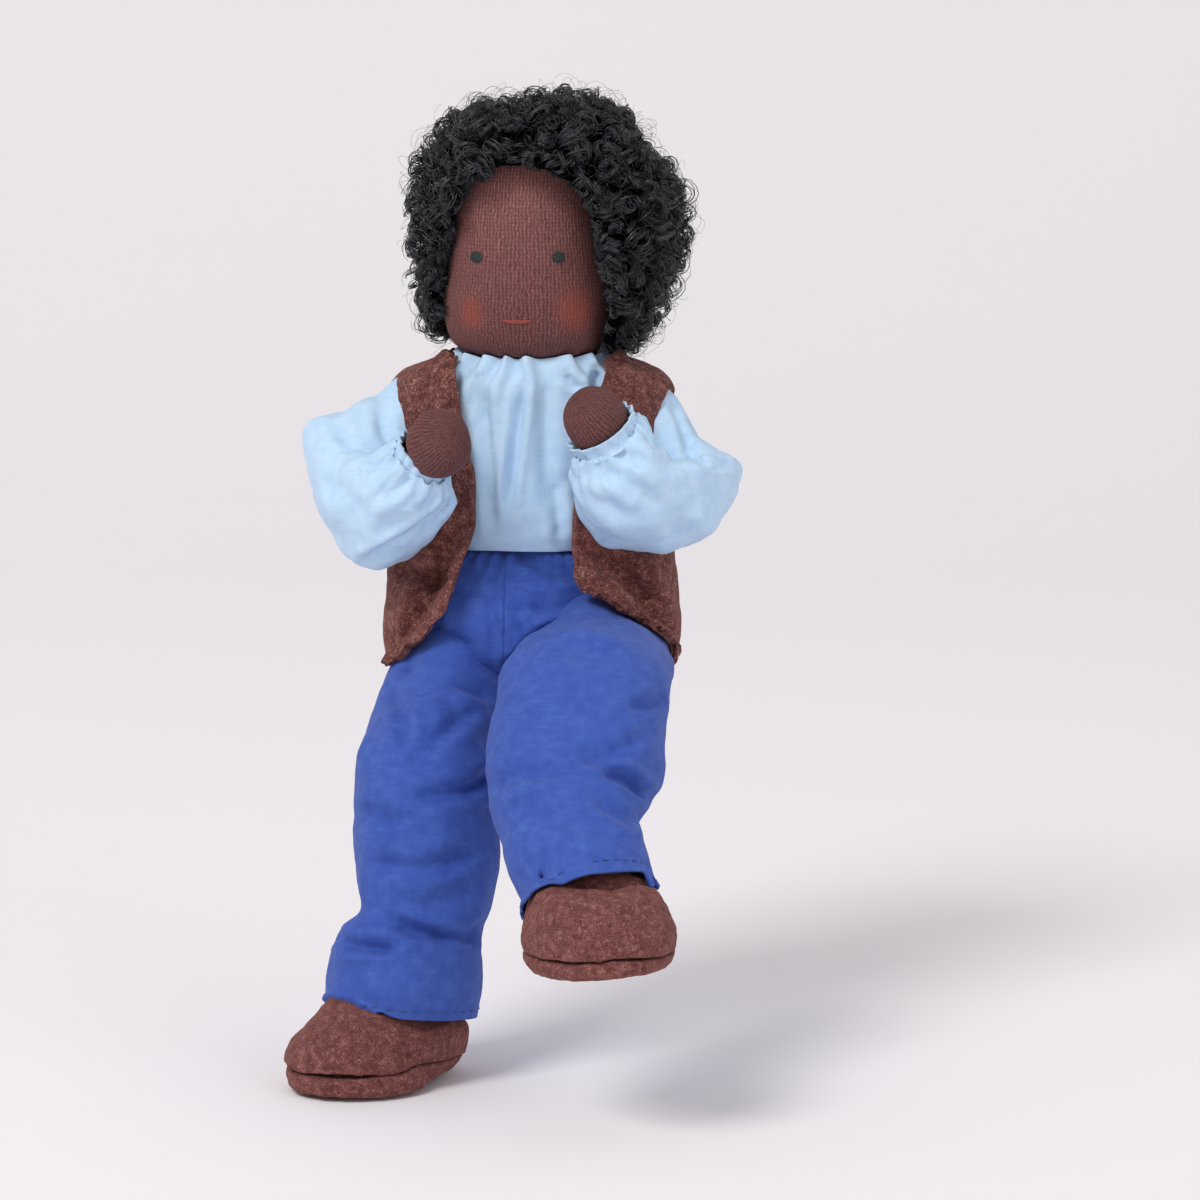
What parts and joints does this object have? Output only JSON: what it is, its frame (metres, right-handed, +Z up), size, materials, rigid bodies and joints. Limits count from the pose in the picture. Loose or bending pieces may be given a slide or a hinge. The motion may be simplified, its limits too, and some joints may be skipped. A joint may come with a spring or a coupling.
{
  "type": "bendy doll",
  "caption": "Seated cloth bendy doll with a knitted head, curly hair, felt vest, gathered shirt, trousers and felt shoes on a wound wire frame.",
  "frame": {"origin": "middle of the flat seat of the trousers, on the surface that the doll sits on", "axes": "+Z up, the doll faces -Y, its left side lies towards +X"},
  "size_m": [0.0626, 0.0924, 0.1358],
  "materials": {
    "jersey": "knitted brown cotton jersey, matt",
    "mohair": "black curly loop yarn",
    "shirt_cotton": "pale blue plain-weave cotton",
    "shirt_thread": "pale blue sewing thread",
    "trouser_cotton": "blue cotton twill",
    "felt": "brown wool felt",
    "eye_thread": "dark grey-green thread dot",
    "mouth_thread": "red embroidery thread",
    "winding": "undyed cotton tape wound on the wire",
    "stuffing": "white polyester fibre",
    "wire": "annealed steel wire, 1.2 mm"
  },
  "bodies": {
    "pelvis": {"lower_body_stuffing": "stuffing", "hip_wire": "wire", "trouser_seat": "trouser_cotton"},
    "waist": {"waist_bend": "winding"},
    "chest": {"chest_stuffing": "stuffing", "shoulder_wire": "wire", "shirt_body": "shirt_cotton", "neckline_thread": "shirt_thread", "vest": "felt"},
    "neck": {"neck_bend": "winding"},
    "head": {"head_skin": "jersey", "head_stuffing": "stuffing", "right_eye": "eye_thread", "left_eye": "eye_thread", "mouth_stitch": "mouth_thread", "hair": "mohair"},
    "right_shoulder": {"right_shoulder_bend": "winding"},
    "right_upper_arm": {"right_upper_arm_winding": "winding", "right_upper_arm_wire": "wire", "right_sleeve": "shirt_cotton"},
    "right_forearm": {"right_forearm_winding": "winding", "right_forearm_wire": "wire", "right_cuff_thread": "shirt_thread"},
    "right_hand": {"right_hand": "jersey"},
    "right_hip": {"right_hip_bend": "winding"},
    "right_thigh": {"right_thigh_winding": "winding", "right_thigh_wire": "wire", "right_trouser_leg": "trouser_cotton"},
    "right_shin": {"right_shin_winding": "winding", "right_shin_wire": "wire"},
    "right_foot": {"right_foot_stuffing": "stuffing", "right_shoe_upper": "felt", "right_shoe_sole": "felt"},
    "left_shoulder": {"left_shoulder_bend": "winding"},
    "left_upper_arm": {"left_upper_arm_winding": "winding", "left_upper_arm_wire": "wire", "left_sleeve": "shirt_cotton"},
    "left_forearm": {"left_forearm_winding": "winding", "left_forearm_wire": "wire", "left_cuff_thread": "shirt_thread"},
    "left_hand": {"left_hand": "jersey"},
    "left_hip": {"left_hip_bend": "winding"},
    "left_thigh": {"left_thigh_winding": "winding", "left_thigh_wire": "wire", "left_trouser_leg": "trouser_cotton"},
    "left_shin": {"left_shin_winding": "winding", "left_shin_wire": "wire"},
    "left_foot": {"left_foot_stuffing": "stuffing", "left_shoe_upper": "felt", "left_shoe_sole": "felt"}
  },
  "joints": [
    {"name": "waist_fold", "type": "hinge", "parent": "pelvis", "child": "waist", "pos_m": [0, 0, 0.021], "axis": [1, 0, 0], "range_deg": [-15, 25], "deforming": ["vest", "shirt_body", "trouser_seat"]},
    {"name": "waist_twist", "type": "hinge", "parent": "waist", "child": "chest", "pos_m": [0, 0, 0.021], "axis": [0, 0, 1], "range_deg": [-40, 40], "deforming": ["vest", "shirt_body", "trouser_seat"]},
    {"name": "neck_turn", "type": "hinge", "parent": "chest", "child": "neck", "pos_m": [0, 0, 0.0443], "axis": [0, 0, 1], "range_deg": [-60, 70], "deforming": ["shirt_body", "vest"]},
    {"name": "neck_nod", "type": "hinge", "parent": "neck", "child": "head", "pos_m": [0, 0, 0.0443], "axis": [0.9848, -0.1736, 0], "range_deg": [-14, 14], "deforming": ["shirt_body", "vest"]},
    {"name": "right_shoulder_swing", "type": "hinge", "parent": "chest", "child": "right_shoulder", "pos_m": [-0.0175, 0, 0.0385], "axis": [-1, 0, 0], "range_deg": [-60, 38], "deforming": ["right_sleeve", "shirt_body", "vest"]},
    {"name": "right_shoulder_spread", "type": "hinge", "parent": "right_shoulder", "child": "right_upper_arm", "pos_m": [-0.0175, 0, 0.0385], "axis": [0, 0.9381, -0.3465], "range_deg": [-10, 70], "deforming": ["right_sleeve", "shirt_body", "vest"]},
    {"name": "right_elbow", "type": "hinge", "parent": "right_upper_arm", "child": "right_forearm", "pos_m": [-0.02334, -0.00564, 0.02322], "axis": [-0.8571, -0.2812, 0.4317], "range_deg": [-112, 6], "deforming": ["right_sleeve"]},
    {"name": "right_wrist", "type": "hinge", "parent": "right_forearm", "child": "right_hand", "pos_m": [-0.01386, -0.01822, 0.03385], "axis": [-0.8571, -0.2812, 0.4317], "range_deg": [-25, 25], "deforming": ["right_sleeve"]},
    {"name": "right_hip_swing", "type": "hinge", "parent": "pelvis", "child": "right_hip", "pos_m": [-0.009, -0.002, 0.01], "axis": [-1, 0, 0], "range_deg": [-48, 45], "deforming": ["right_trouser_leg", "trouser_seat", "vest"]},
    {"name": "right_hip_spread", "type": "hinge", "parent": "right_hip", "child": "right_thigh", "pos_m": [-0.009, -0.002, 0.01], "axis": [0, 0.6763, -0.7366], "range_deg": [-4, 30], "deforming": ["right_trouser_leg", "trouser_seat", "vest"]},
    {"name": "right_knee", "type": "hinge", "parent": "right_thigh", "child": "right_shin", "pos_m": [-0.015, -0.02365, -0.00988], "axis": [0.9757, -0.2084, -0.0678], "range_deg": [-35, 80], "deforming": ["right_trouser_leg"]},
    {"name": "right_ankle", "type": "hinge", "parent": "right_shin", "child": "right_foot", "pos_m": [-0.0183, -0.02819, -0.04341], "axis": [-0.7314, 0.682, 0], "range_deg": [-20, 25], "deforming": ["right_trouser_leg"]},
    {"name": "left_shoulder_swing", "type": "hinge", "parent": "chest", "child": "left_shoulder", "pos_m": [0.0175, 0, 0.0385], "axis": [-1, 0, 0], "range_deg": [-60, 38], "deforming": ["left_sleeve", "shirt_body", "vest"]},
    {"name": "left_shoulder_spread", "type": "hinge", "parent": "left_shoulder", "child": "left_upper_arm", "pos_m": [0.0175, 0, 0.0385], "axis": [0, -0.9274, 0.3742], "range_deg": [-10, 70], "deforming": ["left_sleeve", "shirt_body", "vest"]},
    {"name": "left_elbow", "type": "hinge", "parent": "left_upper_arm", "child": "left_forearm", "pos_m": [0.02302, -0.00613, 0.0233], "axis": [-0.8337, 0.3358, -0.4384], "range_deg": [-112, 6], "deforming": ["left_sleeve"]},
    {"name": "left_wrist", "type": "hinge", "parent": "left_forearm", "child": "left_hand", "pos_m": [0.01257, -0.01696, 0.03489], "axis": [-0.8337, 0.3358, -0.4384], "range_deg": [-25, 25], "deforming": ["left_sleeve"]},
    {"name": "left_hip_swing", "type": "hinge", "parent": "pelvis", "child": "left_hip", "pos_m": [0.009, -0.002, 0.01], "axis": [-1, 0, 0], "range_deg": [-75, 20], "deforming": ["left_trouser_leg", "trouser_seat", "vest"]},
    {"name": "left_hip_spread", "type": "hinge", "parent": "left_hip", "child": "left_thigh", "pos_m": [0.009, -0.002, 0.01], "axis": [0, 0.2594, -0.9658], "range_deg": [-30, 4], "deforming": ["left_trouser_leg", "trouser_seat", "vest"]},
    {"name": "left_knee", "type": "hinge", "parent": "left_thigh", "child": "left_shin", "pos_m": [0.00698, -0.03091, 0.00224], "axis": [0.952, -0.1397, 0.2723], "range_deg": [-35, 80], "deforming": ["left_trouser_leg"]},
    {"name": "left_ankle", "type": "hinge", "parent": "left_shin", "child": "left_foot", "pos_m": [0.01064, -0.05402, -0.02243], "axis": [-0.9848, -0.1736, 0], "range_deg": [-20, 25], "deforming": ["left_trouser_leg"]}
  ]
}
